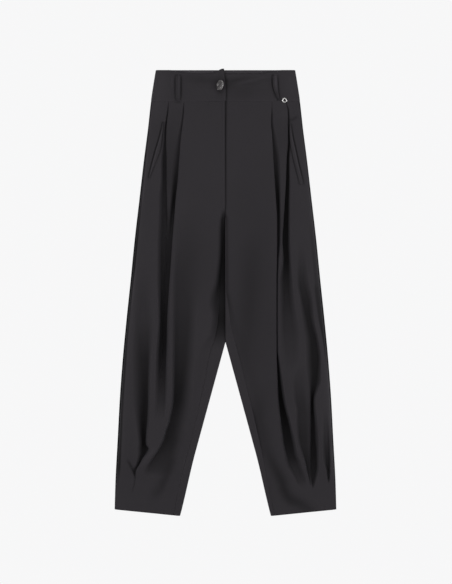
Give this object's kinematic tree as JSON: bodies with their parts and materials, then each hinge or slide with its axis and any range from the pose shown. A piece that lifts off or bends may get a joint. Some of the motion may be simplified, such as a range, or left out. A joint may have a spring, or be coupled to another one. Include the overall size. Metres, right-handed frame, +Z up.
{
  "type": "pleated trousers",
  "caption": "High-waist pleated trousers with barrel legs, laid out flat on their back: waistband with belt loops, outward pleats, slanted welt pockets, soft leg folds.",
  "frame": {"origin": "on the surface the trousers lie on, under the middle of their outline", "axes": "+X to the wearer's left, +Y from the hem towards the waist, +Z up from the surface, out of the front"},
  "size_m": [0.52, 1.0442, 0.0324],
  "materials": {
    "suiting": "matt charcoal suiting weave",
    "button": "marbled grey, polished rim",
    "metal": "polished steel"
  },
  "bodies": {
    "root": {"back_left": "suiting", "back_right": "suiting", "belt_loop_back_centre": "suiting", "belt_loop_back_left": "suiting", "belt_loop_back_right": "suiting", "belt_loop_front_left": "suiting", "belt_loop_front_right": "suiting", "button": "button", "front_left": "suiting", "front_right": "suiting", "metal_ring": "metal", "pocket_welt_left": "suiting", "pocket_welt_right": "suiting", "waistband_back": "suiting", "waistband_front_left": "suiting", "waistband_front_right": "suiting"}
  },
  "joints": []
}
